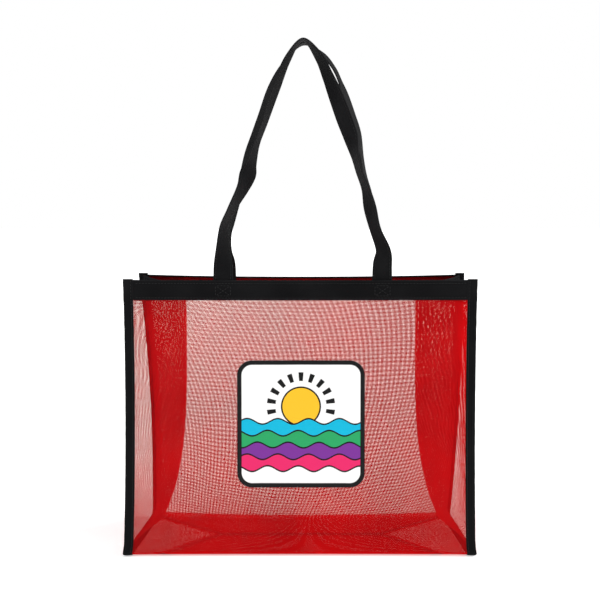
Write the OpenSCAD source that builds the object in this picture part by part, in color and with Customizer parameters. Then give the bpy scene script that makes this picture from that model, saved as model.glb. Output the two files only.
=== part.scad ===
// Sheer mesh beach tote with black webbing trim and two shoulder handles.
// Millimetres. X runs across the bag, the front faces -Y, Z is up.
// The origin is the centre of the base, on the surface that the bag stands on.

/* [Bag] */
// Width over the side bindings
bag_w = 400; // [320:1:500]
// Height of the walls, from the base to the rim
bag_h = 313; // [260:1:380]
// Depth of the base, front to back
base_d = 140; // [120:1:180]
// Depth of the mouth, front to back, with the sides folded in
mouth_d = 85; // [76:1:110]
// How far each side folds in at the rim
fold_top = 65; // [40:1:75]
// How far each side folds in at the base
fold_base = 22; // [12:1:30]

/* [Cloth and trim] */
// Thickness of the mesh cloth
cloth_t = 1; // [0.6:0.1:1.4]
// Outside radius of the fold between the base and each wall
base_fold_r = 5; // [3:0.5:8]
// Height of the band round the rim
band_h = 22; // [18:1:30]
// Thickness of the band
band_t = 1; // [0.6:0.1:1.4]
// Width of the tape that binds the side seams
binding_w = 11; // [7:1:13]
// How far the binding stands proud of the cloth on each face
binding_lap = 1; // [0.6:0.1:1.4]
// How far the binding's ends stand above the rim
binding_top = 1.5; // [0.5:0.5:3]

/* [Handles] */
// Width of the handle webbing
strap_w = 22; // [18:1:24]
// Thickness of the handle webbing
strap_t = 1.6; // [1:0.1:2]
// Height of the handles above the rim, along the webbing's middle
handle_rise = 270; // [240:1:300]
// Distance from the bag's middle plane to the middle of each handle at its top
handle_top_y = 12.5; // [12.5:0.5:16]
// Length of the webbing end that is sewn inside the wall
strap_end_h = 19; // [12:1:22]

/* [Print] */
// Width and height of the printed panel
print_size = 145; // [100:1:180]
// Corner radius of the printed panel
print_r = 17; // [5:1:30]
// Height of the printed panel's middle above the base
print_z = 150; // [110:1:160]
// Thickness of the printed film
print_t = 0.4; // [0.3:0.1:0.8]

/* [Hidden] */

// Gap between pieces that lie side by side
gap = 0.3;
// Gap between the rim and the loop of a handle
rim_gap = 0.6;
// Half the width of the cloth between the side bindings
cloth_x = bag_w / 2 - binding_w;
// Lean of each wall from vertical, in degrees
wall_lean = atan((base_d - mouth_d) / 2 / bag_h);
// Steps round the fold between the base and a wall
fold_steps = 6;
// Steps up a side fold, from the base's rounded edge to the rim band
gusset_steps = 14;
// Steps up a side fold behind the rim band
band_steps = 2;
// Spans across each half of a side fold
fold_spans = 4;
// Bow of the side fold between the base and the rim: 1 is a straight line
fold_bow = 4.5;
// How far the band on a side fold stops short of the binding
gusset_band_trim = 2;
// Rings between two neighbouring points of a handle's route
ring_steps = 3;

MESH_RED = [0.80, 0.09, 0.11];
TRIM_BLACK = [0.08, 0.08, 0.085];
PRINT_WHITE = [0.95, 0.95, 0.94];

// Each handle's route from the bag's left foot to its right foot: x, height as a
// share of the rise, and the twist of the webbing in degrees. At a twist of 0
// the webbing is flat to the wall, and at 90 it is edge on to it.
FRONT_ROUTE = [
    [-88, 0.00, 0], [-88, 0.05, 15], [-88, 0.12, 45], [-87, 0.22, 70], [-79, 0.29, 70],
    [-66, 0.38, 55], [-60, 0.44, 35], [-56, 0.49, 60], [-50, 0.57, 75], [-42, 0.65, 75],
    [-35, 0.73, 70], [-27, 0.81, 70], [-15, 0.92, 75], [2, 1.00, 90], [20, 0.93, 70],
    [30, 0.85, 60], [40, 0.76, 45], [49, 0.67, 40], [56, 0.60, 45], [61, 0.52, 70],
    [66, 0.45, 75], [73, 0.38, 70], [78, 0.30, 55], [84, 0.21, 60], [93, 0.12, 45],
    [92, 0.05, 15], [92, 0.00, 0]
];
REAR_ROUTE = [
    [-90, 0.00, 0], [-90, 0.05, 15], [-90, 0.11, 50], [-87, 0.18, 70], [-82, 0.25, 70],
    [-76, 0.34, 65], [-70, 0.42, 65], [-62, 0.53, 60], [-54, 0.62, 65], [-46, 0.70, 65],
    [-34, 0.82, 65], [-19, 0.92, 75], [2, 1.00, 90], [24, 0.96, 75], [38, 0.90, 75],
    [46, 0.84, 75], [52, 0.78, 65], [60, 0.70, 65], [67, 0.62, 65], [72, 0.52, 75],
    [76, 0.44, 75], [80, 0.36, 60], [85, 0.27, 55], [92, 0.18, 60], [98, 0.11, 45],
    [98, 0.05, 15], [98, 0.00, 0]
];

// Half the depth of the bag outside the cloth, at height z.
function half_depth(z) = (base_d - (base_d - mouth_d) * z / bag_h) / 2;

// How far a side folds in at height z.
function fold_in(z) =
    fold_base + (fold_top - fold_base) * (1 - pow(max(0, 1 - z / bag_h), fold_bow));

// Distance of a handle's foot from the bag's middle plane.
strap_foot_y = half_depth(bag_h) - cloth_t - gap - strap_t / 2;

// One rounded corner between a wall and the base, in the side view. The face is
// moved out by grow, and the corner runs from the wall to the base.
function corner_arc(grow, r) =
    let (
        centre_z = max(0, -grow) + r,
        centre_y = half_depth(centre_z) + grow - r / cos(wall_lean)
    )
    [for (i = [0:fold_steps])
        let (angle = wall_lean - (90 + wall_lean) * i / fold_steps)
        [centre_y + r * cos(angle), centre_z + r * sin(angle)]];

// The face of the walls and base in the side view, from the front rim to the
// rear rim, moved out by grow and ending at height top.
function wall_path(grow, r, top) =
    let (half = concat([[half_depth(top) + grow, top]], corner_arc(grow, r)))
    concat(
        [for (p = half) [-p[0], p[1]]],
        [for (i = [len(half) - 1:-1:0]) half[i]]
    );

// A list in its opposite order.
function reversed(points) = [for (i = [len(points) - 1:-1:0]) points[i]];

// A U of cloth across the bag from x0 to x1, from out outside the wall's face to
// inn inside it.
module wall_u(x0, x1, out, inn, top) {
    translate([x0, 0, 0]) rotate([90, 0, 90]) linear_extrude(x1 - x0)
        polygon(concat(
            wall_path(out, base_fold_r, top),
            reversed(wall_path(-inn, base_fold_r - inn, top))
        ));
}

// Distance from the bag's middle plane to a side fold's edge at height z. It is
// just inside the wall, and follows the rounded fold at the base.
function fold_edge(z) =
    let (
        inner_r = base_fold_r - cloth_t,
        drop = max(0, base_fold_r - z)
    )
    half_depth(z) - cloth_t - gap - inner_r + sqrt(inner_r * inner_r - drop * drop);

// One ring of a side fold at height z, on the bag's right: it lies between a and b
// inside the fold's outer face, and stops trim short of the walls.
function fold_ring(z, a, b, trim) =
    let (
        edge = fold_edge(z),
        run_x = cloth_x - (bag_w / 2 - fold_in(z)),
        slant = norm([run_x, edge]) / edge,
        face = [for (i = [-fold_spans:fold_spans])
            let (y = (edge - trim) * i / fold_spans)
            [cloth_x - run_x * (1 - abs(y) / edge), y, z]]
    )
    concat(
        [for (p = face) p - [a * slant, 0, 0]],
        reversed([for (p = face) p - [b * slant, 0, 0]])
    );

// A closed skin over rings with the same number of points. The first ring is the
// bottom, and each ring turns anticlockwise seen from above. A ring's second half
// faces its first, and both are cut along the same diagonals, so that the skin
// keeps its thickness where it twists.
module skin(rings) {
    n = len(rings[0]);
    count = len(rings);
    points = [for (ring = rings) for (p = ring) p];
    sides = [for (k = [0:count - 2]) for (i = [0:n - 1])
        let (j = (i + 1) % n, a = k * n, b = (k + 1) * n)
        each i < n / 2
            ? [[a + i, b + i, b + j], [a + i, b + j, a + j]]
            : [[a + i, b + i, a + j], [b + i, b + j, a + j]]];
    polyhedron(points, sides_and_ends(sides, n, count), convexity = 6);
}

// The ends of a skin are fans of quads between its two long edges.
function sides_and_ends(sides, n, count) =
    let (top = (count - 1) * n)
    concat(
        sides,
        [for (i = [0:n / 2 - 2]) each [
            [i, i + 1, n - 2 - i], [i, n - 2 - i, n - 1 - i],
            [top + i, top + n - 2 - i, top + i + 1], [top + i, top + n - 1 - i, top + n - 2 - i]
        ]]
    );

// Even steps from z0 to z1, both counted.
function levels(z0, z1, steps) = [for (i = [0:steps]) z0 + (z1 - z0) * i / steps];

// The heights of the right gusset's rings. Those of its band are among them.
band_levels = levels(bag_h - band_h, bag_h, band_steps);
gusset_levels = concat(
    [cloth_t + gap],
    levels(base_fold_r, bag_h - band_h, gusset_steps),
    [for (i = [1:band_steps]) band_levels[i]]
);

module gusset() {
    skin([for (z = gusset_levels) fold_ring(z, 0, cloth_t, 0)]);
}

module gusset_band() {
    skin([for (z = band_levels) fold_ring(z, -gap - band_t, -gap, gusset_band_trim)]);
}

// The band on the outside of the rear wall.
module wall_band() {
    translate([-cloth_x, 0, 0]) rotate([90, 0, 90]) linear_extrude(2 * cloth_x)
        polygon([
            [half_depth(bag_h - band_h), bag_h - band_h],
            [half_depth(bag_h - band_h) + band_t, bag_h - band_h],
            [half_depth(bag_h) + band_t, bag_h],
            [half_depth(bag_h), bag_h]
        ]);
}

// A route's stop i, or its nearest end past either of its ends.
function stop(route, i) = route[min(len(route) - 1, max(0, i))];

// A handle's centreline at stop i, with y counted from the bag's middle plane.
function stop_at(route, i) =
    let (here = stop(route, i))
    [
        here[0],
        strap_foot_y + (handle_top_y - strap_foot_y) * here[1],
        bag_h + rim_gap + (handle_rise - rim_gap) * here[1]
    ];

function twist_at(route, i) = stop(route, i)[2];

// A smooth curve through a, b, c and d between b and c, at t from 0 to 1.
function through(a, b, c, d, t) =
    b + t / 2 * ((c - a) + t * ((2 * a - 5 * b + 4 * c - d) + t * (3 * b - a - 3 * c + d)));

function unit(v) = v / norm(v);

// The rectangle of webbing at position s along a route, counted in stops.
function strap_ring(route, s) =
    let (
        last = len(route) - 1,
        i = min(last - 1, floor(s)),
        t = s - i,
        stops = [for (k = [i - 1:i + 2]) stop_at(route, k)],
        twists = [for (k = [i - 1:i + 2]) twist_at(route, k)],
        here = through(stops[0], stops[1], stops[2], stops[3], t),
        before = through(stops[0], stops[1], stops[2], stops[3], t - 0.05),
        after = through(stops[0], stops[1], stops[2], stops[3], t + 0.05),
        twist = through(twists[0], twists[1], twists[2], twists[3], t),
        along = s == 0 ? [0, 0, 1] : s == last ? [0, 0, -1] : unit(after - before),
        outward = unit(cross(along, [0, 1, 0])),
        across = cos(twist) * outward + sin(twist) * cross(outward, along),
        thick = cross(along, across)
    )
    [for (corner = [[-1, -1], [1, -1], [1, 1], [-1, 1]])
        here + across * corner[0] * strap_w / 2 + thick * corner[1] * strap_t / 2];

// The loop of a handle on the rear of the bag.
module handle(route) {
    skin([for (k = [0:(len(route) - 1) * ring_steps]) strap_ring(route, k / ring_steps)]);
}

// The two ends of a handle's webbing, sewn inside the rear wall.
module handle_ends(route) {
    for (x = [route[0][0], route[len(route) - 1][0]])
        translate([x - strap_w / 2, 0, 0]) rotate([90, 0, 90]) linear_extrude(strap_w)
            polygon([
                for (corner = [[0, 0], [1, 0], [1, 1], [0, 1]])
                let (z = bag_h - strap_end_h * (1 - corner[1]))
                [half_depth(z) - cloth_t - gap - strap_t * (1 - corner[0]), z]
            ]);
}

module rounded_square(size, r) {
    square([size - 2 * r, size], center = true);
    square([size, size - 2 * r], center = true);
    for (x = [-1, 1]) for (y = [-1, 1])
        translate([x, y] * (size / 2 - r)) circle(r, $fn = 64);
}

module on_left() { mirror([1, 0, 0]) children(); }
module on_front() { mirror([0, 1, 0]) children(); }

module body_cloth() { color(MESH_RED) wall_u(-cloth_x, cloth_x, 0, cloth_t, bag_h); }
module right_gusset() { color(MESH_RED) gusset(); }
module left_gusset() { color(MESH_RED) on_left() gusset(); }
module right_binding() {
    color(TRIM_BLACK)
        wall_u(cloth_x, bag_w / 2, binding_lap, cloth_t + binding_lap, bag_h + binding_top);
}
module left_binding() {
    color(TRIM_BLACK)
        wall_u(-bag_w / 2, -cloth_x, binding_lap, cloth_t + binding_lap, bag_h + binding_top);
}
module rear_band() { color(TRIM_BLACK) wall_band(); }
module front_band() { color(TRIM_BLACK) on_front() wall_band(); }
module right_gusset_band() { color(TRIM_BLACK) gusset_band(); }
module left_gusset_band() { color(TRIM_BLACK) on_left() gusset_band(); }
module rear_handle() { color(TRIM_BLACK) handle(REAR_ROUTE); }
module front_handle() { color(TRIM_BLACK) on_front() handle(FRONT_ROUTE); }
module rear_handle_ends() { color(TRIM_BLACK) handle_ends(REAR_ROUTE); }
module front_handle_ends() { color(TRIM_BLACK) on_front() handle_ends(FRONT_ROUTE); }
module front_print() {
    color(PRINT_WHITE)
        translate([0, -half_depth(print_z), print_z]) rotate([90 - wall_lean, 0, 0])
            linear_extrude(print_t) rounded_square(print_size, print_r);
}

body_cloth();
left_gusset();
right_gusset();
left_binding();
right_binding();
front_band();
rear_band();
left_gusset_band();
right_gusset_band();
front_handle();
rear_handle();
front_handle_ends();
rear_handle_ends();
front_print();
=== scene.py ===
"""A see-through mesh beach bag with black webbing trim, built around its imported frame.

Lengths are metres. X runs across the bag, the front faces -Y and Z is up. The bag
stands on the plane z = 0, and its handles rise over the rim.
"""
import bisect
import logging
import math
from dataclasses import dataclass, field
from enum import Enum
from typing import Any, Callable, Optional, Sequence, Union

import bmesh
import bpy
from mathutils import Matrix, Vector, noise


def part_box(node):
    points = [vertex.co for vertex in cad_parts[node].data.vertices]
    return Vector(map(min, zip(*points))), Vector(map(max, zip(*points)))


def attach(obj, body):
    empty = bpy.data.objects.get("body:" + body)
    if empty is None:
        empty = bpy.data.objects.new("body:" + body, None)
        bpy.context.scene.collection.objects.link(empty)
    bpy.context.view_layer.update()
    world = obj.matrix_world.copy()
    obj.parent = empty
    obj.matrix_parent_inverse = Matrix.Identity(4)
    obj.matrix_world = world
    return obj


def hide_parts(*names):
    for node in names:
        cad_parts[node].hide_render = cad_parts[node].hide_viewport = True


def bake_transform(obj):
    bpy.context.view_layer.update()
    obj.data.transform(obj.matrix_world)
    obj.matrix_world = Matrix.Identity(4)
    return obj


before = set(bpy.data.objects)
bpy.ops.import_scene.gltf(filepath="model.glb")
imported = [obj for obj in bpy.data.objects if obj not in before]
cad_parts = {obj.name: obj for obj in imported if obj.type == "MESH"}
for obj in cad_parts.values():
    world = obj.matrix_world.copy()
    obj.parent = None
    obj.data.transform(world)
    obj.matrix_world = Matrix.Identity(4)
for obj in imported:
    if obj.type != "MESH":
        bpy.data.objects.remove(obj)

LOG = logging.getLogger("beach_bag")
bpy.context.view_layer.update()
CLOTH_MAP = "Cloth"
CLOSENESS_AND_PAINTED_LIGHT = "closeness_and_painted_light"
MM = 0.001
TINY = 1e-6

# One stitch. The taper is the share of the thread's thickness that is lost at a hole, and
# the rise and the sunk part are shares of its thickness too.
STITCH_PITCH = 3.6 * MM
STITCH_LENGTH = 2.9 * MM
STITCH_WIDTH = 0.55 * MM
STITCH_RISE = 0.55
STITCH_SUNK = 0.25
STITCH_TAPER = 0.55
STITCH_STEPS = 4
STITCH_SIDES = 6

Colour = tuple[float, float, float]
Pair = tuple[float, float]
Stop = tuple[float, float, float]

WHITE: Colour = (1.0, 1.0, 1.0)
BLACK: Colour = (0.0035, 0.0035, 0.004)
WORN_BLACK: Colour = (0.014, 0.014, 0.015)
PALER_BLACK: Colour = (0.020, 0.020, 0.021)
STRAP_WIDTH = 22 * MM


class Side(Enum):
    """The bag's two narrow sides, by their direction along X."""

    LEFT = -1
    RIGHT = 1


class Face(Enum):
    """The bag's two broad faces, by their direction along Y."""

    FRONT = -1
    REAR = 1


def blend_between(start: float, end: float, share: float) -> float:
    """Return the value that lies share of the way from start to end."""
    return start + (end - start) * share


def clamp(value: float) -> float:
    """Hold a value between 0 and 1."""
    return min(1.0, max(0.0, value))


def arch(share: float) -> float:
    """Return a rounded rise that is 0 at both ends of a span and 1 in its middle."""
    return math.sin(math.pi * share)


def ease(start: float, end: float, value: float) -> float:
    """Rise smoothly from 0 to 1 as a value passes from start to end.

    Args:
        start: The value at which the rise begins.
        end: The value at which it is complete.
        value: The value to test.

    Returns:
        A number from 0 to 1.
    """
    share = clamp((value - start) / (end - start))
    return share * share * (3 - 2 * share)


def hill(distance: float, width: float) -> float:
    """Return a smooth bump that is 1 at distance 0 and falls off over width."""
    return math.exp(-((distance / width) ** 2))


def wander(x: float, y: float, pitch: float, seed: float) -> float:
    """Return soft noise from about -1 to 1 with the given pitch."""
    return noise.noise(Vector((x / pitch, y / pitch, seed)))


def through(a: Vector, b: Vector, c: Vector, d: Vector, t: float) -> Vector:
    """Find a point on the smooth curve through four stops.

    Args:
        a: The stop before the stretch.
        b: The stop where the stretch starts.
        c: The stop where it ends.
        d: The stop after it.
        t: The share of the stretch that has passed, from 0 to 1.

    Returns:
        The point between b and c.
    """
    return b + t / 2 * ((c - a) + t * ((2 * a - 5 * b + 4 * c - d) + t * (3 * b - a - 3 * c + d)))


# ---------------------------------------------------------------- shader tools


class Value:
    """A number in a node tree, on which arithmetic adds Math nodes."""

    def __init__(self, shader: "Shader", socket: bpy.types.NodeSocket) -> None:
        """Wrap a socket.

        Args:
            shader: The node tree that the socket belongs to.
            socket: The output that carries the number.
        """
        self.shader = shader
        self.socket = socket

    def maths(self, operation: str, *others: "Number") -> "Value":
        """Return one Math node's result on this value and others."""
        return self.shader.maths(operation, self, *others)

    def __add__(self, other: "Number") -> "Value":
        """Add."""
        return self.maths("ADD", other)

    def __radd__(self, other: "Number") -> "Value":
        """Add, from the right."""
        return self.shader.maths("ADD", other, self)

    def __sub__(self, other: "Number") -> "Value":
        """Subtract."""
        return self.maths("SUBTRACT", other)

    def __rsub__(self, other: "Number") -> "Value":
        """Subtract this from another."""
        return self.shader.maths("SUBTRACT", other, self)

    def __mul__(self, other: "Number") -> "Value":
        """Multiply."""
        return self.maths("MULTIPLY", other)

    def __rmul__(self, other: "Number") -> "Value":
        """Multiply, from the right."""
        return self.shader.maths("MULTIPLY", other, self)

    def __truediv__(self, other: "Number") -> "Value":
        """Divide."""
        return self.maths("DIVIDE", other)

    def __lt__(self, other: "Number") -> "Value":
        """Give 1 where this is the smaller, and 0 elsewhere."""
        return self.maths("LESS_THAN", other)

    def __gt__(self, other: "Number") -> "Value":
        """Give 1 where this is the larger, and 0 elsewhere."""
        return self.maths("GREATER_THAN", other)

    def __abs__(self) -> "Value":
        """Take the size without the sign."""
        return self.maths("ABSOLUTE")

    def at_least(self, other: "Number") -> "Value":
        """Take the larger of this and another."""
        return self.maths("MAXIMUM", other)

    def at_most(self, other: "Number") -> "Value":
        """Take the smaller of this and another."""
        return self.maths("MINIMUM", other)

    def fraction(self) -> "Value":
        """Take the part after the point."""
        return self.maths("FRACT")

    def from_middle(self) -> "Value":
        """Count each whole step as running from 1 at its ends to 0 in its middle."""
        return abs(self.fraction() - 0.5) * 2

    def sine(self) -> "Value":
        """Take the sine of an angle in radians."""
        return self.maths("SINE")


Number = Union[Value, float]


class Shader:
    """The node tree of a material or of the surroundings."""

    def __init__(self, owner: Union[bpy.types.Material, bpy.types.World]) -> None:
        """Start an empty node tree.

        Args:
            owner: The new material or world that the tree belongs to.
        """
        self.owner = owner
        owner.use_nodes = True
        self.tree = owner.node_tree
        self.tree.nodes.clear()

    def node(
        self,
        kind: str,
        settings: Optional[dict[str, Any]] = None,
        sockets: Optional[dict[Union[str, int], Any]] = None,
    ) -> bpy.types.Node:
        """Add a node.

        Args:
            kind: The node's type.
            settings: Its own settings, which are set first.
            sockets: Numbers, colours or links for its inputs, by name, identifier or place.

        Returns:
            The new node.
        """
        made = self.tree.nodes.new(kind)
        for name, setting in (settings or {}).items():
            setattr(made, name, setting)
        for key, given in (sockets or {}).items():
            self.fill(self.find(made.inputs, key), given)
        return made

    def find(
        self,
        sockets: Sequence[bpy.types.NodeSocket],
        key: Union[str, int],
    ) -> bpy.types.NodeSocket:
        """Find one socket of a node.

        Args:
            sockets: The node's inputs or outputs.
            key: The socket's place, identifier or name.

        Returns:
            The socket.
        """
        if isinstance(key, int):
            return sockets[key]
        by_identifier = [s for s in sockets if s.identifier == key]
        return (by_identifier or [s for s in sockets if s.name == key and s.enabled])[0]

    def fill(self, socket: bpy.types.NodeSocket, given: Any) -> None:
        """Link or set one input.

        Args:
            socket: The input.
            given: A value, a socket to link from, a number or a colour.
        """
        if isinstance(given, Value):
            self.tree.links.new(given.socket, socket)
        elif isinstance(given, bpy.types.NodeSocket):
            self.tree.links.new(given, socket)
        elif socket.type == "RGBA":
            socket.default_value = (*given[:3], 1.0)
        else:
            socket.default_value = given

    def maths(self, operation: str, *values: Number) -> Value:
        """Return the result of one Math node."""
        made = self.node("ShaderNodeMath", {"operation": operation}, dict(enumerate(values)))
        return Value(self, made.outputs[0])

    def cloth_coordinates(self) -> tuple[Value, Value]:
        """Return the distances across and along the cloth, in metres."""
        parts = self.node("ShaderNodeSeparateXYZ", {}, {0: self.cloth_map()})
        return Value(self, parts.outputs[0]), Value(self, parts.outputs[1])

    def cloth_map(self) -> bpy.types.NodeSocket:
        """Return the cloth's own coordinates as a vector."""
        return self.node("ShaderNodeUVMap", {"uv_map": CLOTH_MAP}).outputs[0]

    def attribute(self, name: str) -> Value:
        """Return a number that the mesh carries at its points."""
        made = self.node("ShaderNodeAttribute", {"attribute_name": name})
        return Value(self, self.find(made.outputs, "Fac"))

    def clouds(self, pitch: float, seed: float, detail: float = 2.0, stretch: float = 1.0) -> Value:
        """Add soft noise that lies on the cloth.

        Args:
            pitch: The size of a cloud, in metres.
            seed: Shifts the pattern.
            detail: How many finer layers are added.
            stretch: How much longer a cloud is along the cloth than across it.

        Returns:
            A value from about 0.3 to 0.7.
        """
        placed = self.node(
            "ShaderNodeMapping", {},
            {"Vector": self.cloth_map(), "Location": (seed, seed / 2, seed),
             "Scale": (1 / pitch, 1 / (pitch * stretch), 1 / pitch)},
        )
        made = self.node("ShaderNodeTexNoise", {},
                         {"Vector": placed.outputs[0], "Scale": 1.0, "Detail": detail})
        return Value(self, made.outputs[0])

    def mixed(self, share: Number, first: Any, second: Any) -> bpy.types.NodeSocket:
        """Mix two colours.

        Args:
            share: How much of the second is taken.
            first: A colour or a link to one.
            second: A colour or a link to one.

        Returns:
            The mixed colour.
        """
        made = self.node("ShaderNodeMix", {"data_type": "RGBA", "clamp_factor": True},
                         {"Factor_Float": share, "A_Color": first, "B_Color": second})
        return self.find(made.outputs, "Result_Color")

    def bumped(self, height: Value, strength: float, distance: float) -> bpy.types.NodeSocket:
        """Turn a relief into a normal.

        Args:
            height: The relief, from 0 to 1.
            strength: How much of it shows.
            distance: The depth of the relief, in metres.

        Returns:
            The bumped normal.
        """
        made = self.node("ShaderNodeBump", {},
                         {"Strength": strength, "Distance": distance, "Height": height})
        return made.outputs[0]

    def principled(self, sockets: dict[Union[str, int], Any]) -> bpy.types.NodeSocket:
        """Return a Principled shader with the given inputs."""
        return self.node("ShaderNodeBsdfPrincipled", {}, sockets).outputs[0]

    def layered(self, share: Number, first: Any, second: Any) -> bpy.types.NodeSocket:
        """Return a mix of two shaders with share of the second."""
        return self.node("ShaderNodeMixShader", {}, {0: share, 1: first, 2: second}).outputs[0]

    def finish(self, surface: bpy.types.NodeSocket) -> bpy.types.Material:
        """Give the material its surface and return it."""
        self.node("ShaderNodeOutputMaterial", {}, {"Surface": surface})
        return self.owner


# -------------------------------------------------------------------- finishes


@dataclass(frozen=True)
class SheerMesh:
    """A fine open weave that lets light and sight through between its threads."""

    name: str = "sheer_mesh"
    pitch: float = 0.60 * MM
    open_share: float = 0.25
    closed_share: float = 0.82
    deep: Colour = (0.20, 0.002, 0.004)
    bright: Colour = (0.70, 0.004, 0.006)
    lit_through: Colour = (0.78, 0.004, 0.006)
    gap_tint: Colour = (1.0, 0.985, 0.945)
    through_open: float = 0.22
    through_closed: float = 0.60
    roughness: float = 0.55
    patch: float = 70 * MM
    patch_seed: float = 3.0
    slub: float = 4 * MM
    slub_seed: float = 9.0
    slub_stretch: float = 6.0
    thread_depth: float = 0.12 * MM
    bump: float = 0.5
    gloss: float = 0.05
    least_share: float = 0.05
    patch_share: float = 0.05
    painted_thread_shade: float = 0.30
    slub_tone: float = 0.4
    dense_tone: float = 0.6
    crease_shade_tone: float = 1.6
    base_tone: float = -0.15
    crease_shade_through: float = 0.6
    least_through: float = 0.05

    def material(self) -> bpy.types.Material:
        """Build the finish: threads each way, with clear gaps between them.

        Returns:
            The new material.
        """
        shader = Shader(bpy.data.materials.new(self.name))
        across, along = shader.cloth_coordinates()
        closeness_and_painted_light = shader.attribute(CLOSENESS_AND_PAINTED_LIGHT)
        patches = shader.clouds(self.patch, self.patch_seed) - 0.5
        # Closeness above 1 is painted shade, not weave: it darkens the threads and cuts their glow.
        crease = (closeness_and_painted_light - 1).at_least(0)
        dense = closeness_and_painted_light.at_most(1)
        share = self.open_share + dense * (self.closed_share - self.open_share)
        share = share + patches * self.patch_share
        warp = (across / self.pitch).from_middle()
        weft = (along / self.pitch).from_middle()
        thread = (warp < share).at_least(weft < share)
        relief = 1 - warp.at_most(weft) / share.at_least(self.least_share)
        slubs = shader.clouds(self.slub, self.slub_seed, detail=1.0, stretch=self.slub_stretch)
        # Painted shading: each thread is lighter along its middle and darker at its sides.
        tone = relief * self.painted_thread_shade + slubs * self.slub_tone + patches + self.base_tone
        # Closer weave paints the threads brighter red; above 1 the crease term paints them darker: painted
        # shade.
        tone = tone + dense * self.dense_tone - crease * self.crease_shade_tone
        colour = shader.mixed(tone, self.deep, self.bright)
        threads = shader.principled({
            "Base Color": colour,
            "Roughness": self.roughness,
            "Specular IOR Level": self.gloss,
            "Normal": shader.bumped(relief, self.bump, self.thread_depth),
        })
        glow = shader.node("ShaderNodeBsdfTranslucent", {}, {"Color": self.lit_through}).outputs[0]
        through = self.through_open + dense * (self.through_closed - self.through_open)
        through = through - crease * self.crease_shade_through
        cloth = shader.layered(through.at_least(self.least_through), threads, glow)
        gaps = shader.node("ShaderNodeBsdfTransparent", {}, {"Color": self.gap_tint}).outputs[0]
        return shader.finish(shader.layered(thread, gaps, cloth))


@dataclass(frozen=True)
class RibbedWeb:
    """A narrow woven tape whose ribs run across it."""

    name: str
    width: float
    rib: float
    colour: Colour
    worn: Colour
    roughness: float
    relief: float
    seed: float
    knuckle: float = 1.3
    fluff: float = 1.2 * MM
    patch: float = 30 * MM
    edge: float = 1.2 * MM
    rib_height: float = 0.65
    knuckle_height: float = 0.25
    fluff_height: float = 0.25
    edge_wear: float = 0.35
    patch_wear: float = 0.9
    patch_level: float = 0.45
    rib_wear: float = 0.35
    dullness: float = 0.3
    gloss: float = 0.06
    bump: float = 0.75

    def material(self) -> bpy.types.Material:
        """Build the finish: ribs, cross threads, fluff and paler edges.

        Returns:
            The new material.
        """
        shader = Shader(bpy.data.materials.new(self.name))
        across, along = shader.cloth_coordinates()
        row = (along / self.rib).maths("FLOOR")
        lean = (row * 0.5).fraction()
        rib = 1 - (along / self.rib).from_middle()
        knuckle = 1 - (across / (self.rib * self.knuckle) + lean).from_middle()
        fluff = shader.clouds(self.fluff, self.seed, detail=3.0)
        patches = shader.clouds(self.patch, self.seed + 5, stretch=2.0)
        height = rib * self.rib_height + knuckle * self.knuckle_height + fluff * self.fluff_height
        edge = (abs(across) - (self.width / 2 - self.edge)) / self.edge
        wear = edge.at_least(0) * self.edge_wear + (patches - self.patch_level) * self.patch_wear
        wear = wear + knuckle * rib * self.rib_wear
        colour = shader.mixed(wear, self.colour, self.worn)
        surface = shader.principled({
            "Base Color": colour,
            "Roughness": self.roughness + (fluff - 0.5) * self.dullness,
            "Specular IOR Level": self.gloss,
            "Normal": shader.bumped(height, self.bump, self.relief),
        })
        return shader.finish(surface)


@dataclass(frozen=True)
class StitchThread:
    """A twisted sewing thread."""

    name: str = "stitch_thread"
    colour: Colour = (0.006, 0.006, 0.0065)
    lit: Colour = (0.022, 0.022, 0.023)
    twist: float = 0.5 * MM
    slant: float = 0.6
    ply_shine: float = 0.8
    ply_dull: float = 0.1
    roughness: float = 0.5
    gloss: float = 0.2
    bump: float = 0.6
    ply_depth: float = 0.1 * MM

    def material(self) -> bpy.types.Material:
        """Build the finish: slanted plies with a slight shine.

        Returns:
            The new material.
        """
        shader = Shader(bpy.data.materials.new(self.name))
        across, along = shader.cloth_coordinates()
        ply = 1 - ((along + across * self.slant) / self.twist).from_middle()
        surface = shader.principled({
            "Base Color": shader.mixed(ply * self.ply_shine, self.colour, self.lit),
            "Roughness": self.roughness + ply * self.ply_dull,
            "Specular IOR Level": self.gloss,
            "Normal": shader.bumped(ply, self.bump, self.ply_depth),
        })
        return shader.finish(surface)


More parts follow.
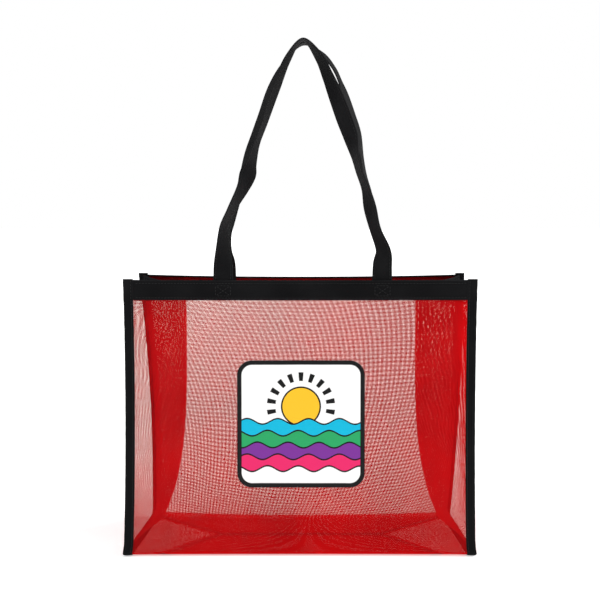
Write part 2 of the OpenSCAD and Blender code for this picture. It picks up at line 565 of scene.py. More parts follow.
@dataclass(frozen=True)
class PrintedFilm:
    """A film print with a plain sun over striped waves, inside a dark border."""

    size: float
    corner: float
    name: str = "printed_film"
    border: float = 5.0 * MM
    line: float = 1.8 * MM
    ink: Colour = (0.003, 0.003, 0.0035)
    paper: Colour = (0.90, 0.90, 0.89)
    sun: Colour = (0.92, 0.52, 0.02)
    sun_height: float = 20 * MM
    sun_radius: float = 21 * MM
    ray_count: int = 18
    ray_start: float = 1.38
    ray_end: float = 1.85
    sea_top: float = 2 * MM
    wave_step: float = 13.5 * MM
    wave_height: float = 3.2 * MM
    wave_length: float = 35 * MM
    wave_turn: float = 2.1
    sea: tuple[Colour, ...] = (
        (0.0, 0.46, 0.68),
        (0.02, 0.36, 0.12),
        (0.19, 0.03, 0.30),
        (0.78, 0.02, 0.14),
        (0.90, 0.90, 0.89),
    )
    ray_width: float = 0.42
    mesh_below: float = 1.2 * MM
    pressed: Colour = (0.62, 0.55, 0.54)
    scuff: float = 6 * MM
    scuff_seed: float = 4.0
    relief: float = 0.08 * MM
    bump: float = 0.25
    smooth: float = 0.42
    scuffed: float = 0.25
    back_roughness: float = 0.6
    back_dull: float = 0.2
    pressed_share: float = 0.4
    gloss: float = 0.2

    def picture(self, shader: Shader) -> bpy.types.NodeSocket:
        """Paint the print.

        Args:
            shader: The material that holds it.

        Returns:
            The print's colour.
        """
        x, y = shader.cloth_coordinates()
        rise = y - self.sun_height
        reach = (x * x + rise * rise).maths("SQRT")
        turn = rise.maths("ARCTAN2", x) * (self.ray_count / (2 * math.pi))
        ring = (reach > self.sun_radius * self.ray_start) * (reach < self.sun_radius * self.ray_end)
        ray = (turn.from_middle() < self.ray_width) * ring * (y > self.sea_top + 2 * self.wave_height)
        colour = shader.mixed(ray, self.paper, self.ink)
        colour = shader.mixed(reach < self.sun_radius + self.line, colour, self.ink)
        colour = shader.mixed(reach < self.sun_radius, colour, self.sun)
        for place, shade in enumerate(self.sea):
            turn = x * (2 * math.pi / self.wave_length) + place * self.wave_turn
            crest = turn.sine() * self.wave_height + (self.sea_top - place * self.wave_step)
            colour = shader.mixed(y < crest + self.line, colour, self.ink)
            colour = shader.mixed(y < crest, colour, shade)
        return shader.mixed(self.edge(x, y) > -self.border, colour, self.ink)

    def edge(self, x: Value, y: Value) -> Value:
        """Measure the distance outside the film's rounded outline.

        Args:
            x: The distance from the middle, across.
            y: The distance from the middle, up.

        Returns:
            The distance, which is negative inside.
        """
        straight = self.size / 2 - self.corner
        over_x = abs(x) - straight
        over_y = abs(y) - straight
        out_x = over_x.at_least(0)
        out_y = over_y.at_least(0)
        corner = (out_x * out_x + out_y * out_y).maths("SQRT")
        return corner + over_x.at_least(over_y).at_most(0) - self.corner

    def material(self) -> bpy.types.Material:
        """Build the finish: flat inks over the faint relief of the mesh below.

        Returns:
            The new material.
        """
        shader = Shader(bpy.data.materials.new(self.name))
        across, along = shader.cloth_coordinates()
        below = (across / self.mesh_below).from_middle() + (along / self.mesh_below).from_middle()
        scuff = shader.clouds(self.scuff, self.scuff_seed, detail=4.0)
        surface = shader.principled({
            "Base Color": self.picture(shader),
            "Roughness": self.smooth + scuff * self.scuffed,
            "Specular IOR Level": self.gloss,
            "Normal": shader.bumped(below * 0.5 + scuff, self.bump, self.relief),
        })
        return shader.finish(surface)

    def backing(self) -> bpy.types.Material:
        """Build the back of the film, where the mesh has pressed into it.

        Returns:
            The new material.
        """
        shader = Shader(bpy.data.materials.new("film_backing"))
        across, along = shader.cloth_coordinates()
        weft = (along / self.mesh_below).from_middle()
        below = (across / self.mesh_below).from_middle().at_most(weft)
        surface = shader.principled({
            "Base Color": shader.mixed(below * self.pressed_share, self.paper, self.pressed),
            "Roughness": self.back_roughness + below * self.back_dull,
            "Specular IOR Level": self.gloss,
        })
        return shader.finish(surface)


@dataclass(frozen=True)
class StudioFloor:
    """A plain pale floor."""

    name: str = "studio_floor"
    colour: Colour = (0.93, 0.93, 0.93)
    mottled: Colour = (0.97, 0.97, 0.97)
    mottle: float = 50 * MM
    mottle_share: float = 0.1
    roughness: float = 0.9
    lift: float = 0.40

    def material(self) -> bpy.types.Material:
        """Build the finish: matt, with the faintest mottling.

        Returns:
            The new material.
        """
        shader = Shader(bpy.data.materials.new(self.name))
        mottle = shader.clouds(self.mottle, 1.0)
        surface = shader.principled({
            "Base Color": shader.mixed(mottle * self.mottle_share, self.colour, self.mottled),
            "Roughness": self.roughness,
            "Specular IOR Level": 0.0,
            "Emission Color": WHITE,
            "Emission Strength": self.lift,
        })
        return shader.finish(surface)


# ------------------------------------------------------------------ mesh tools


@dataclass(frozen=True)
class Station:
    """One place on a path, with the directions of what runs along it."""

    origin: Vector
    across: Vector
    out: Vector
    distance: float

    def point(self, across: float, out: float) -> Vector:
        """Return the point at these distances across and outward."""
        return self.origin + self.across * across + self.out * out


def station_at(stations: Sequence[Station], distance: float) -> Station:
    """Find the place at a distance along a path.

    Args:
        stations: The path's places, in order.
        distance: The distance from its start.

    Returns:
        The place, worked out between its two neighbours.
    """
    after = bisect.bisect_left(stations, distance, key=lambda s: s.distance)
    after = min(len(stations) - 1, max(1, after))
    first, second = stations[after - 1], stations[after]
    share = (distance - first.distance) / (second.distance - first.distance)
    return Station(
        first.origin.lerp(second.origin, share),
        first.across.lerp(second.across, share).normalized(),
        first.out.lerp(second.out, share).normalized(),
        distance,
    )


class Skin:
    """Gathers one piece's points and faces, with its cloth coordinates."""

    def __init__(self) -> None:
        """Start with nothing."""
        self.points: list[Vector] = []
        self.faces: list[tuple[int, ...]] = []
        self.corners: list[Pair] = []
        self.finishes: list[int] = []
        self.closeness_and_painted_light: list[float] = []

    def face(self, face: tuple[int, ...], corners: Sequence[Pair], finish: int) -> None:
        """Add one face.

        Args:
            face: Its points, by number.
            corners: The cloth coordinates of its corners.
            finish: Which of the piece's materials it has.
        """
        self.faces.append(face)
        self.corners.extend(corners)
        self.finishes.append(finish)

    def grid(
        self,
        rows: Sequence[Sequence[Vector]],
        cloth: Sequence[Sequence[Pair]],
        ring: bool = False,
        finish: int = 0,
        closeness_and_painted_light: Optional[Callable[[int, int], float]] = None,
    ) -> None:
        """Add a sheet of faces over rows of points.

        Args:
            rows: The rows of points, all of one length.
            cloth: Cloth coordinates for each point, and one more in each row of a ring.
            ring: Whether each row closes on itself.
            finish: Which of the piece's materials the faces have.
            closeness_and_painted_light: How close the weave is at a row and column.
        """
        start, count = len(self.points), len(rows[0])
        for i, row in enumerate(rows):
            self.points.extend(row)
            self.closeness_and_painted_light.extend(closeness_and_painted_light(i, j) if closeness_and_painted_light else 0.0 for j in range(count))
        for i in range(len(rows) - 1):
            for j in range(count if ring else count - 1):
                k = (j + 1) % count
                here, above = start + i * count, start + (i + 1) * count
                self.face(
                    (here + j, here + k, above + k, above + j),
                    (cloth[i][j], cloth[i][j + 1], cloth[i + 1][j + 1], cloth[i + 1][j]),
                    finish,
                )
        if ring:
            last = start + (len(rows) - 1) * count
            self.face(tuple(range(start, start + count)), cloth[0][:count], finish)
            self.face(tuple(range(last, last + count)), cloth[-1][:count], finish)

    def sweep(self, rings: Sequence[Sequence[Vector]], distances: Sequence[float],
              across: Sequence[float], finish: int = 0) -> None:
        """Add a closed tape over rings of points.

        Args:
            rings: The rings, in order along the tape.
            distances: How far along the tape each ring is.
            across: How far across the tape each point of a ring is.
            finish: Which of the piece's materials the tape has.
        """
        closed = [*across, across[0]]
        self.grid(rings, [[(a, d) for a in closed] for d in distances], ring=True, finish=finish)

    def stitch(self, stations: Sequence[Station]) -> None:
        """Add one stitch that arches over the cloth, in the piece's second material.

        Args:
            stations: Places along the stitch, from hole to hole.
        """
        last = len(stations) - 1
        turns = [2 * math.pi * k / STITCH_SIDES for k in range(STITCH_SIDES)]
        rings = []
        for i, s in enumerate(stations):
            reach = 2 * i / last - 1
            radius = STITCH_WIDTH / 2 * (1 - STITCH_TAPER * reach ** 4)
            middle = s.point(0, STITCH_WIDTH * (STITCH_RISE * (1 - reach * reach) - STITCH_SUNK))
            rings.append([middle + s.across * math.cos(a) * radius + s.out * math.sin(a) * radius
                          for a in turns])
        around = [STITCH_WIDTH * a / 2 for a in turns]
        self.sweep(rings, [s.distance for s in stations], around, finish=1)

    def seam(self, stations: Sequence[Station], across: float = 0.0, out: float = 0.0) -> None:
        """Add a row of stitches along a path.

        Args:
            stations: The path's places.
            across: The row's distance across from the path.
            out: The height of the cloth that is sewn.
        """
        moved = [Station(s.point(across, out), s.across, s.out, s.distance) for s in stations]
        first, last = moved[0].distance, moved[-1].distance
        count = max(1, int((last - first) / STITCH_PITCH))
        start = (first + last - count * STITCH_PITCH + STITCH_PITCH - STITCH_LENGTH) / 2
        for k in range(count):
            begin = start + k * STITCH_PITCH
            self.stitch([station_at(moved, begin + STITCH_LENGTH * i / STITCH_STEPS)
                         for i in range(STITCH_STEPS + 1)])

    def build(self, name: str, materials: Sequence[bpy.types.Material]) -> bpy.types.Object:
        """Make the piece.

        Args:
            name: The piece's name.
            materials: Its materials, in the order that its faces count them.

        Returns:
            The new object, with smooth shading and its faces turned outward.
        """
        mesh = bpy.data.meshes.new(name)
        mesh.from_pydata([tuple(p) for p in self.points], [], self.faces)
        layer = mesh.uv_layers.new(name=CLOTH_MAP)
        layer.data.foreach_set("uv", [c for corner in self.corners for c in corner])
        mesh.polygons.foreach_set("material_index", self.finishes)
        mesh.polygons.foreach_set("use_smooth", [True] * len(self.faces))
        values = mesh.attributes.new(CLOSENESS_AND_PAINTED_LIGHT, "FLOAT", "POINT")
        values.data.foreach_set("value", self.closeness_and_painted_light)
        for material in materials:
            mesh.materials.append(material)
        shape = bmesh.new()
        shape.from_mesh(mesh)
        bmesh.ops.recalc_face_normals(shape, faces=shape.faces)
        shape.to_mesh(mesh)
        shape.free()
        piece = bpy.data.objects.new(name, mesh)
        bpy.context.collection.objects.link(piece)
        LOG.info("%s: %d faces", name, len(mesh.polygons))
        return piece


# ----------------------------------------------------------------- the bag form


@dataclass(frozen=True)
class Trend:
    """A number that changes smoothly with height, given in three places."""

    top: float
    middle: float
    bottom: float

    def at(self, share: float) -> float:
        """Return the number at a share of the bag's height."""
        return (self.bottom * (2 * share - 1) * (share - 1) + self.middle * 4 * share * (1 - share)
                + self.top * share * (2 * share - 1))


@dataclass(frozen=True)
class PathPoint:
    """A place on the U that the walls and base make in the side view."""

    y: float
    z: float
    out_y: float
    out_z: float
    distance: float
    depth_share: float
    base: float


@dataclass(frozen=True)
class BagForm:
    """The shape that every cloth piece follows: leaning walls, a flat base and side folds.

    A wave, a lump or a waver is given as its pitch and its height, and a foot or a head as
    the two heights between which it comes or goes, a head's from the rim.
    """

    width: float
    height: float
    base_depth: float = 140 * MM
    mouth_depth: float = 85 * MM
    depth_lost: float = 0.4
    edge_radius: float = 4.6 * MM
    edge_reach: Pair = (0.5, 1.3)
    corner_steps: int = 6
    skin_depth: float = 0.5 * MM
    binding_width: float = 11 * MM
    seam_tuck: float = 4.5 * MM
    band_height: float = 22 * MM
    band_seam_low: float = 2.6 * MM
    band_seam_high: float = 3 * MM
    corner_flare: float = 1.6 * MM
    flare_height: float = 9 * MM
    wall_bow: float = 5 * MM
    wall_bow_low: float = 0.7
    seam_bow: float = 0.35
    wave_foot: Pair = (4 * MM, 40 * MM)
    wave_head: Pair = (-36 * MM, -20 * MM)
    wave_held: float = 0.85
    broad_wave: Pair = (85 * MM, 1.9 * MM)
    broad_squash: float = 0.8
    fine_wave: Pair = (30 * MM, 0.6 * MM)
    fine_squash: float = 0.6
    rear_tuck: float = 13 * MM
    front_tuck: float = 1.5 * MM
    tuck_height: float = 150 * MM
    tuck_spread: float = 0.8
    rear_sag: float = 3.5 * MM
    front_sag: float = 0.6 * MM
    sag_depth: float = 120 * MM
    sag_spread: float = 0.6
    ridge_height: float = 4.5 * MM
    ridge_end: float = 97 * MM
    ridge_y: float = -12 * MM
    crease_width: float = 4 * MM
    crease_run: float = 60 * MM
    fold_top: float = 65 * MM
    fold_base: float = 22 * MM
    fold_bow: float = 4.5
    fold_foot: float = 24 * MM
    fold_least: float = 0.04
    fold_round: float = 0.07
    front_belly: float = 2.2 * MM
    rear_belly: float = 3.0 * MM
    fold_wave: Pair = (38 * MM, 2.0 * MM)
    fold_wave_span: float = 40 * MM
    fold_wave_foot: float = 30 * MM
    fold_wave_head: Pair = (-34 * MM, -20 * MM)
    rim_dip: float = 7 * MM
    rim_dip_depth: float = 45 * MM
    seams: dict[tuple[Side, Face], Trend] = field(default_factory=lambda: {
        (Side.LEFT, Face.FRONT): Trend(-1.2 * MM, 0.6 * MM, -1.8 * MM),
        (Side.RIGHT, Face.FRONT): Trend(0.4 * MM, 2.2 * MM, 1.2 * MM),
        (Side.LEFT, Face.REAR): Trend(2.0 * MM, 11.5 * MM, 9 * MM),
        (Side.RIGHT, Face.REAR): Trend(0.5 * MM, 1 * MM, 8 * MM),
    })

    def up(self, z: float) -> float:
        """Return a height as a share of the bag's, held between 0 and 1."""
        return clamp(z / self.height)

    def half_depth(self, z: float) -> float:
        """Return half the bag's depth outside the cloth at a height."""
        return blend_between(self.base_depth, self.mouth_depth, z / self.height) / 2

    def band_seams(self) -> Pair:
        """Return how far up the rim band each of its two rows of stitches is."""
        return self.band_seam_low, self.band_height - self.band_seam_high

    def fold_in(self, z: float) -> float:
        """Find how far a side folds in.

        Args:
            z: The height.

        Returns:
            The distance in from the bag's side.
        """
        left = max(0.0, 1 - z / self.height)
        deep = blend_between(self.fold_base, self.fold_top, 1 - left ** self.fold_bow)
        return deep * math.sqrt(blend_between(self.fold_least, 1.0, ease(0.0, self.fold_foot, z)))

    def seam_x(self, side: Side, depth_share: float, z: float) -> float:
        """Find the outer edge of a side's binding.

        Args:
            side: The side of the bag.
            depth_share: 0 at the front wall and 1 at the rear one.
            z: The height.

        Returns:
            Its place along X.
        """
        front = self.seams[side, Face.FRONT].at(self.up(z))
        rear = self.seams[side, Face.REAR].at(self.up(z))
        flare = self.corner_flare * hill(z, self.flare_height) * (1 - depth_share)
        return side.value * (self.width / 2 - blend_between(front, rear, depth_share) + flare)

    def across_share(self, x: float, depth_share: float, z: float) -> float:
        """Turn a place along X into a share of the width between the seams.

        Args:
            x: The place.
            depth_share: 0 at the front wall and 1 at the rear one.
            z: The height.

        Returns:
            0 at the left seam and 1 at the right one.
        """
        left = self.seam_x(Side.LEFT, depth_share, z)
        right = self.seam_x(Side.RIGHT, depth_share, z)
        return (x - left) / (right - left)

    def bow(self, across: float, z: float) -> float:
        """Find how far a wall sags inward.

        Args:
            across: The place across it, as a share of its width.
            z: The height.

        Returns:
            The distance inward.
        """
        spread = blend_between(self.seam_bow, 1.0, arch(clamp(across)))
        return self.wall_bow * arch(self.up(z) ** self.wall_bow_low) * spread

    def foot_tuck(self, face: Face, across: float, z: float) -> float:
        """Find how far the foot of a wall is drawn in under the bag.

        Args:
            face: Which wall.
            across: The place across it, as a share of its width.
            z: The height.

        Returns:
            The distance, which is greatest in the middle of the wall's foot.
        """
        most = self.rear_tuck if face is Face.REAR else self.front_tuck
        return most * arch(clamp(across)) ** self.tuck_spread * (1 - ease(0.0, self.tuck_height, z))

    def rim_sag(self, face: Face, across: float, z: float) -> float:
        """Find how far a wall's rim sags between its corners.

        Args:
            face: Which wall.
            across: The place across it, as a share of its width.
            z: The height.

        Returns:
            The distance down, which dies away below the rim.
        """
        most = self.rear_sag if face is Face.REAR else self.front_sag
        held = ease(-self.sag_depth, 0.0, z - self.height)
        return most * arch(clamp(across)) ** self.sag_spread * held

    def ripple(self, face: Face, x: float, z: float) -> float:
        """Find how far the soft waves of a wall stand out.

        Args:
            face: Which wall.
            x: The place across the bag.
            z: The height.

        Returns:
            The distance outward.
        """
        held = self.wave_held * ease(*self.wave_head, z - self.height)
        seed = 2.0 * face.value
        broad_pitch, broad_rise = self.broad_wave
        fine_pitch, fine_rise = self.fine_wave
        broad = wander(x, z * self.broad_squash, broad_pitch, seed) * broad_rise
        fine = wander(x, z * self.fine_squash, fine_pitch, seed + 7) * fine_rise
        return (broad + fine) * ease(*self.wave_foot, z) * (1 - held)

    def wall(self, face: Face, x: float, z: float, out: float = 0.0) -> Vector:
        """Find a point on a wall.

        Args:
            face: Which wall.
            x: Its place across the bag.
            z: Its height.
            out: Its distance outside the middle of the cloth.

        Returns:
            The point.
        """
        across = self.across_share(x, 0.5 + face.value / 2, z)
        inward = self.skin_depth + self.bow(across, z) + self.foot_tuck(face, across, z)
        outward = self.half_depth(z) - inward + self.ripple(face, x, z) + out
        return Vector((x, face.value * outward, z - self.rim_sag(face, across, z)))

    def wall_path(self, face: Face, places: Sequence[Pair], out: float) -> list[Station]:
        """Follow a line of places on a wall.

        Args:
            face: Which wall.
            places: The places, as x and z.
            out: The line's distance outside the middle of the cloth.

        Returns:
            The path, with out pointing away from the bag.
        """
        points = [self.wall(face, x, z, out) for x, z in places]
        return path_over(points, Vector((0, face.value, 0)))

    def base_slopes(self, x: float, y: float) -> Pair:
        """Measure how far a place is up each slope of the base's low hipped ridge.

        Args:
            x: The place across the bag.
            y: The place from front to back.

        Returns:
            The shares of the way from the side and from the front or rear, 1 on the ridge.
        """
        reach = self.width / 2 - self.binding_width
        run = (reach - abs(x)) / (reach - self.ridge_end)
        fall = 1 - abs(y - self.ridge_y) / (self.base_depth / 2 + abs(self.ridge_y))
        return run, fall

    def base_relief(self, x: float, y: float) -> float:
        """Return the height of the creased base above its edges."""
        return self.ridge_height * max(0.0, min(*self.base_slopes(x, y), 1.0))

    def base_crease(self, x: float, y: float) -> float:
        """Find how close a place on the base is to one of its creases.

        Args:
            x: The place across the bag.
            y: The place from front to back.

        Returns:
            1 on a crease, and less away from it.
        """
        run, fall = self.base_slopes(x, y)
        if run > 1:
            return hill(y - self.ridge_y, self.crease_width)
        return hill((run - fall) * self.crease_run, self.crease_width)

    def section(self, foot: float, inset: float, step: float, over: float = 0.0) -> list[PathPoint]:
        """Follow the U of the walls and base in the side view.

        Args:
            foot: The height of the run under the base.
            inset: The distance inside the walls' outer faces.
            step: The longest step along the path.
            over: How far the ends stand above the rim.

        Returns:
            The path from the front rim to the rear rim.
        """
        lean = math.atan2((self.base_depth - self.mouth_depth) / 2, self.height)
        radius = self.edge_radius
        centre_z = foot + radius
        centre_y = self.half_depth(centre_z) - inset - radius / math.cos(lean)
        top = self.height + over
        turns = [lean - (math.pi / 2 + lean) * i / self.corner_steps for i in range(self.corner_steps + 1)]
        half = [(self.half_depth(top) - inset, top)]
        half += [(centre_y + radius * math.cos(a), centre_z + radius * math.sin(a)) for a in turns]
        outline = [(-y, z) for y, z in half] + [(y, z) for y, z in reversed(half)]
        return self.stepped(outline, step)

    def stepped(self, outline: Sequence[Pair], step: float) -> list[PathPoint]:
        """Divide an outline in the side view into short steps.

        Args:
            outline: Its corners, as y and z.
            step: The longest step.

        Returns:
            The path, with the outward direction at each point.
        """
        spots: list[Pair] = []
        for start, end in zip(outline, outline[1:]):
            count = max(1, math.ceil(math.dist(start, end) / step))
            spots += line_between(start, end, count)[:-1]
        spots.append(outline[-1])
        path: list[PathPoint] = []
        distance = 0.0
        for i, (y, z) in enumerate(spots):
            if i:
                distance += math.dist(spots[i], spots[i - 1])
            before, after = spots[max(0, i - 1)], spots[min(len(spots) - 1, i + 1)]
            size = math.dist(before, after)
            out_y, out_z = (after[1] - before[1]) / size, (before[0] - after[0]) / size
            depth_share = clamp(0.5 + y / (self.base_depth * (1 - self.depth_lost * z / self.height)))
            base = 1 - ease(*(self.edge_radius * reach for reach in self.edge_reach), z)
            path.append(PathPoint(y, z, out_y, out_z, distance, depth_share, base))
        return path

    def fold_point(self, side: Side, t: float, z: float, gap: float) -> Vector:
        """Find a point on a side fold.

        Args:
            side: The side of the bag.
            t: -1 at the front seam, 0 on the fold and 1 at the rear seam.
            z: The height.
            gap: The distance between the fold's edge and the middle of the wall's cloth.

        Returns:
            The point.
        """
        soft = self.fold_round
        run = (math.hypot(t, soft) - soft) / (math.hypot(1, soft) - soft)
        seam = self.seam_x(side, 0.0 if t < 0 else 1.0, z) - side.value * self.seam_tuck
        fold = side.value * (self.width / 2 - self.fold_in(z))
        belly = arch(run) * arch(self.up(z)) * (self.front_belly if t < 0 else self.rear_belly)
        below_rim = z - self.height
        pitch, rise = self.fold_wave
        seed = side.value * 3 + (0.5 + t / 2) * 0.2
        held = arch(run) * ease(0.0, self.fold_wave_foot, z) * (1 - ease(*self.fold_wave_head, below_rim))
        waves = wander(t * self.fold_wave_span, z, pitch, seed) * rise * held
        drop = max(0.0, self.edge_radius + MM - z)
        rounded = self.edge_radius - math.sqrt(max(0.0, self.edge_radius ** 2 - drop ** 2))
        edge = self.half_depth(z) - self.skin_depth - gap - self.bow(0.0, z) - rounded
        dip = self.rim_dip * (1 - t ** 4) * ease(-self.rim_dip_depth, 0.0, below_rim)
        x = blend_between(fold, seam, run) + side.value * (belly + waves)
        return Vector((x, t * edge, z - dip))


def path_over(points: Sequence[Vector], out: Vector) -> list[Station]:
    """Give a line of points its directions and distances.

    Args:
        points: The points, in order.
        out: The direction away from the cloth.

    Returns:
        The path.
    """
    stations: list[Station] = []
    distance = 0.0
    for i, point in enumerate(points):
        if i:
            distance += (point - points[i - 1]).length
        along = (points[min(len(points) - 1, i + 1)] - points[max(0, i - 1)]).normalized()
        across = along.cross(out).normalized()
        stations.append(Station(point, across, across.cross(along).normalized(), distance))
    return stations


def line_between(start: Pair, end: Pair, steps: int = 6) -> list[Pair]:
    """Return even steps from one place to another, both counted."""
    return [(blend_between(start[0], end[0], k / steps), blend_between(start[1], end[1], k / steps))
            for k in range(steps + 1)]


# ------------------------------------------------------------------ the pieces


@dataclass(frozen=True)
class BodyCloth:
    """The one sheet of mesh that makes the front, the base and the rear."""

    form: BagForm
    finish: SheerMesh
    step: float = 3 * MM
    foot: float = 1.0 * MM
    open_top: float = 0.02
    # Painted shade: the walls' weave is set closer, so deeper red, toward the foot and, higher up, toward
    # the right.
    foot_shade_closeness: float = 0.36
    right_shade_closeness: float = 0.21
    foot_shade_rise: float = 0.8
    # The long facets' value above 1 takes them a little into the painted shade.
    close_base: float = 1.10
    close_base_end: float = 0.60
    # Painted shade along the base's creases, which lifts the closeness above 1.
    painted_crease_shade: float = 0.75
    close_edge: float = 0.6
    edge_line: Pair = (3 * MM, 2 * MM)
    streak_pitch: float = 30 * MM
    streak_seed: float = 11.0
    streak_share: float = 0.10
    lump: Pair = (26 * MM, 0.5 * MM)
    lump_seed: float = 5.0
    lump_edge: float = 14 * MM

    def place(self, spot: PathPoint, share: float) -> Vector:
        """Find one point of the sheet.

        Args:
            spot: Its place on the side view's U.
            share: Its place across the cloth, from 0 to 1.

        Returns:
            The point.
        """
        form = self.form
        left = form.seam_x(Side.LEFT, spot.depth_share, spot.z) + form.seam_tuck
        right = form.seam_x(Side.RIGHT, spot.depth_share, spot.z) - form.seam_tuck
        x = blend_between(left, right, share)
        face = Face.FRONT if spot.y < 0 else Face.REAR
        if spot.base < TINY:
            return form.wall(face, x, spot.z)
        half = form.base_depth / 2
        drawn = form.foot_tuck(face, share, spot.z) * min(1.0, abs(spot.y) / half) ** 2
        y = spot.y - face.value * (form.bow(share, spot.z) * (1 - spot.base) + drawn)
        lump_pitch, lump_rise = self.lump
        rise = form.base_relief(x, spot.y) + wander(x, spot.y, lump_pitch, self.lump_seed) * lump_rise
        inside = ease(half, half - self.lump_edge, abs(spot.y))
        return Vector((x, y, spot.z + max(0.0, rise) * inside))

    def weave(self, spot: PathPoint, share: float, point: Vector) -> float:
        """Find how close the weave is at a point, with painted shade added to it.

        Args:
            spot: Its place on the side view's U.
            share: Its place across the cloth, from 0 to 1.
            point: The point itself.

        Returns:
            0 where the weave is most open and 1 where it is closest; above 1 it is painted shade, on the
            base's creases and a little on its long facets.
        """
        form = self.form
        up = form.up(spot.z)
        # Painted shade: closer weave toward the wall's foot and toward its right side, standing in for the
        # shade there.
        wall = blend_between(self.foot_shade_closeness, self.open_top, up ** self.foot_shade_rise)
        wall += self.right_shade_closeness * share * up
        run, fall = form.base_slopes(point.x, spot.y)
        facet = self.close_base if fall < run else self.close_base_end
        streaks = self.streak_share * wander(point.x, spot.y * 3, self.streak_pitch, self.streak_seed)
        # The crease term is painted shade: it lifts the closeness above 1 along the creases.
        base = facet + streaks + self.painted_crease_shade * form.base_crease(point.x, spot.y)
        line_z, line_width = self.edge_line
        line = self.close_edge * hill(spot.z - line_z, line_width) if spot.base > 0 else 0.0
        return blend_between(wall, base, spot.base) + line * (1 - spot.base)

    def build(self) -> bpy.types.Object:
        """Returns:
            The finished piece.
        """
        spots = self.form.section(self.foot, self.form.skin_depth, self.step)
        columns = math.ceil(self.form.width / self.step)
        shares = [j / columns for j in range(columns + 1)]
        cut = self.form.width - 2 * self.form.binding_width
        rows = [[self.place(s, share) for share in shares] for s in spots]
        cloth = [[((share - 0.5) * cut, s.distance) for share in shares] for s in spots]
        skin = Skin()
        skin.grid(rows, cloth, closeness_and_painted_light=lambda i, j: self.weave(spots[i], shares[j], rows[i][j]))
        piece = skin.build("body_cloth_mesh", [self.finish.material()])
        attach(piece, "bag")
        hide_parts("body_cloth")
        return piece


# How close each side's weave is beside its front seam. The right side's high values paint the upper strip
# of its gusset brighter red, with more glow: painted light.
SEAM_WEAVES_AND_GLOW: dict[Side, Trend] = {
    Side.LEFT: Trend(0.36, 0.06, 0.34),
    Side.RIGHT: Trend(0.90, 0.85, 0.05),
}


@dataclass(frozen=True)
class Gusset:
    """A side's folded sheet of mesh, with the web band round its rim."""

    form: BagForm
    side: Side
    finish: SheerMesh
    web: RibbedWeb
    thread: StitchThread
    seam_weave_and_glow: Trend
    front_weave: Trend = Trend(0.36, 0.06, 0.34)
    rear_weave: Trend = Trend(0.32, 0.95, 0.85)
    fold_line: float = 0.06
    seam_line: Pair = (-0.86, -0.68)
    step: float = 3 * MM
    foot: float = 2.2 * MM
    gap: float = 1.0 * MM
    spans: int = 52
    band_spans: int = 72
    band_reach: float = 0.96
    seam_lift: float = 1.5 * MM
    drift: float = 14 * MM
    streak_pitch: float = 24 * MM
    streak_seed: float = 21.0
    streak_span: float = 60 * MM
    streak_squash: float = 0.35
    streak_share: float = 0.16
    crease_share: float = 0.3
    crease_width: float = 0.035

    def build(self) -> bpy.types.Object:
        """Returns:
            The finished piece.
        """
        form, name = self.form, f"{self.side.name.lower()}_gusset"
        rows_up = math.ceil((form.height - self.foot) / self.step)
        heights = [blend_between(self.foot, form.height, i / rows_up) for i in range(rows_up + 1)]
        turns = [2 * j / self.spans - 1 for j in range(self.spans + 1)]
        rows = [[form.fold_point(self.side, t, z, self.gap) for t in turns] for z in heights]
        cut = 2 * math.hypot(form.fold_top - form.seam_tuck, form.mouth_depth / 2)
        cloth = [[(t * cut / 2, z) for t in turns] for z in heights]
        skin = Skin()
        skin.grid(rows, cloth, closeness_and_painted_light=lambda i, j: self.weave(heights[i], turns[j]))
        piece = skin.build(f"{name}_mesh", [self.finish.material()])
        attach(piece, "bag")
        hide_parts(name)
        return piece

    def weave(self, z: float, t: float) -> float:
        """Find how close the weave is at a point, with painted light beside the right side's front seam.

        Args:
            z: Its height.
            t: -1 at the front seam, 0 on the fold and 1 at the rear seam.

        Returns:
            0 where the weave is most open and 1 where it is closest.
        """
        share = z / self.form.height
        front, rear, seam = (w.at(share) for w in (self.front_weave, self.rear_weave, self.seam_weave_and_glow))
        panel = blend_between(front, rear, ease(-self.fold_line, self.fold_line, t))
        # Beside the front seam the seam weave takes over; on the right side it is painted light.
        panel = blend_between(seam, panel, ease(*self.seam_line, t))
        across = t * self.streak_span + self.drift * arch(share)
        seed = self.streak_seed * self.side.value
        streaks = wander(across, z * self.streak_squash, self.streak_pitch, seed) * self.streak_share
        return max(0.0, panel + self.crease_share * hill(t, self.crease_width) + streaks)

    def build_band(self) -> bpy.types.Object:
        """Build the web band that is sewn round the fold's rim.

        Returns:
            The finished piece.
        """
        form = self.form
        turns = [self.band_reach * (2 * j / self.band_spans - 1) for j in range(self.band_spans + 1)]
        foot = form.height - form.band_height
        middle = [form.fold_point(self.side, t, foot + form.band_height / 2, self.gap) for t in turns]
        stations = path_over(middle, Vector((self.side.value, 0, 0)))
        rings: list[list[Vector]] = []
        lines: dict[float, list[Station]] = {rise: [] for rise in form.band_seams()}
        for t, station in zip(turns, stations):
            rings.append([form.fold_point(self.side, t, foot + rise, self.gap) + station.out * out
                          for out, rise in band_outline(form.band_height)])
            for rise, line in lines.items():
                point = form.fold_point(self.side, t, foot + rise, self.gap) + station.out * self.seam_lift
                line.append(Station(point, station.across, station.out, station.distance))
        skin = Skin()
        across = [rise - form.band_height / 2 for _, rise in band_outline(form.band_height)]
        skin.sweep(rings, [s.distance for s in stations], across)
        for line in lines.values():
            skin.seam(line)
        name = f"{self.side.name.lower()}_gusset_band"
        piece = skin.build(f"{name}_web", [self.web.material(), self.thread.material()])
        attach(piece, "bag")
        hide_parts(name)
        return piece


